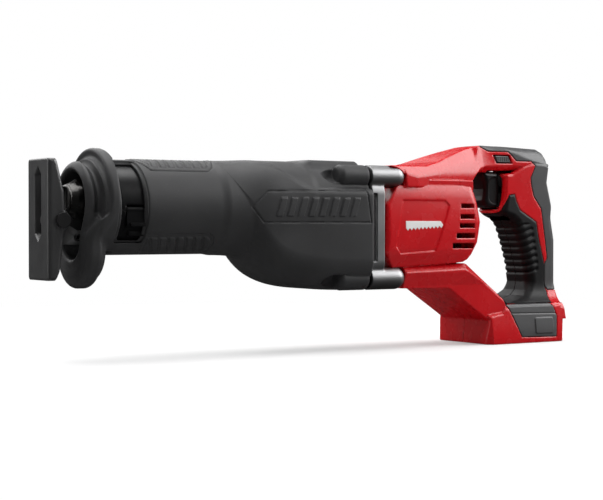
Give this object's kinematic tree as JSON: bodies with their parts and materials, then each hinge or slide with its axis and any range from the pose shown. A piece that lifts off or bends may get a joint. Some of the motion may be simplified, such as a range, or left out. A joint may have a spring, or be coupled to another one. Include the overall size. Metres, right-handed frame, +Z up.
{
  "type": "reciprocating saw",
  "caption": "Bare cordless reciprocating saw: long rubber-booted nose with pivoting shoe and blade clamp, red motor housing, D handle with trigger and a battery foot.",
  "frame": {"origin": "centre of the bounding box in X and Y, at the underside of the battery foot", "axes": "-X towards the shoe and the blade, +X towards the handle, +Z up, Y across the parting plane of the shell"},
  "size_m": [0.48, 0.082, 0.167],
  "materials": {
    "red_plastic": "satin moulded",
    "black_grip_rubber": "ribbed overmould",
    "grey_rubber": "matt overmould",
    "screw_steel": "blackened",
    "boot_rubber": "matt moulded",
    "black_casting": "gloss black",
    "silver_casting": "cast, blasted",
    "bronze": "sintered",
    "seal_rubber": "matt",
    "black_steel": "black, worn edges",
    "pin_steel": "turned",
    "ground_steel": "ground",
    "clamp_steel": "dark, worn",
    "gear_steel": "cut and greased",
    "lamination_steel": "stacked",
    "copper": "lacquered",
    "black_plastic": "fine grain",
    "terminal_brass": "stamped"
  },
  "bodies": {
    "root": {"housing_left": "red_plastic", "housing_right": "red_plastic", "grip_left": "black_grip_rubber", "grip_right": "black_grip_rubber", "spine_left": "grey_rubber", "spine_right": "grey_rubber", "foot_panel_left": "grey_rubber", "foot_panel_right": "grey_rubber", "housing_screws": "screw_steel", "gear_case_screws": "screw_steel", "insulating_boot": "boot_rubber", "gear_case": "black_casting", "gear_case_cover": "silver_casting", "front_bush": "bronze", "rear_bush": "bronze", "spindle_seal": "seal_rubber", "lever_pin": "pin_steel", "gear_bearing": "ground_steel", "front_bearing": "ground_steel", "rear_bearing": "ground_steel", "motor_can": "lamination_steel", "magnets": "lamination_steel", "brush_holder": "black_plastic", "brushes": "black_plastic", "switch_body": "black_plastic", "terminal_block": "black_plastic", "terminal_blades": "terminal_brass"},
    "spindle": {"spindle": "ground_steel", "yoke": "ground_steel", "yoke_screws": "screw_steel", "clamp_body": "clamp_steel", "clamp_pin": "pin_steel", "clamp_ring": "pin_steel"},
    "clamp_collar": {"clamp_collar": "clamp_steel"},
    "crank": {"crank_gear": "gear_steel", "gear_axle": "ground_steel", "crank_pin": "ground_steel"},
    "roller": {"crank_roller": "ground_steel"},
    "rotor": {"motor_shaft": "ground_steel", "armature_core": "lamination_steel", "armature_coils": "copper", "commutator": "copper", "fan": "black_plastic", "pinion": "gear_steel"},
    "post": {"shoe_post": "black_steel", "post_roll_pin": "pin_steel"},
    "shoe": {"shoe": "black_steel", "shoe_pivot_pin": "pin_steel"},
    "shoe_lever": {"shoe_lever": "black_casting"},
    "trigger": {"trigger": "black_plastic"},
    "lock_button": {"lock_button": "grey_rubber"}
  },
  "joints": [
    {"name": "spindle_stroke", "type": "slide", "parent": "root", "child": "spindle", "axis": [1, 0, 0], "range_m": [0, 0.0286]},
    {"name": "clamp_turn", "type": "hinge", "parent": "spindle", "child": "clamp_collar", "pos_m": [-0.205, 0, 0.119], "axis": [1, 0, 0], "range_deg": [0, 60], "stiffness_Nm_per_rad": 0.05},
    {"name": "crank_turn", "type": "hinge", "parent": "root", "child": "crank", "pos_m": [-0.012, 0, 0.099], "axis": [0, 1, 0], "continuous": true},
    {"name": "roller_turn", "type": "hinge", "parent": "crank", "child": "roller", "pos_m": [-0.0263, 0, 0.099], "axis": [0, 1, 0], "continuous": true},
    {"name": "motor_turn", "type": "hinge", "parent": "root", "child": "rotor", "pos_m": [0.08, 0, 0.099], "axis": [1, 0, 0], "continuous": true},
    {"name": "post_slide", "type": "slide", "parent": "root", "child": "post", "axis": [-1, 0, 0], "range_m": [0, 0.028]},
    {"name": "shoe_tilt", "type": "hinge", "parent": "post", "child": "shoe", "pos_m": [-0.229, 0, 0.1035], "axis": [0, 1, 0], "range_deg": [-15, 15]},
    {"name": "shoe_lever_swing", "type": "hinge", "parent": "root", "child": "shoe_lever", "pos_m": [-0.178, -0.029, 0.111], "axis": [-1, 0, 0], "range_deg": [0, 50], "stiffness_Nm_per_rad": 0.02},
    {"name": "trigger_pull", "type": "slide", "parent": "root", "child": "trigger", "axis": [1, 0, 0], "range_m": [0, 0.006], "stiffness_N_per_m": 900},
    {"name": "lock_push", "type": "slide", "parent": "root", "child": "lock_button", "axis": [0, -1, 0], "range_m": [0, 0.004]}
  ],
  "couplings": [
    {"joint": "motor_turn", "follows": "crank_turn", "ratio": -4}
  ]
}
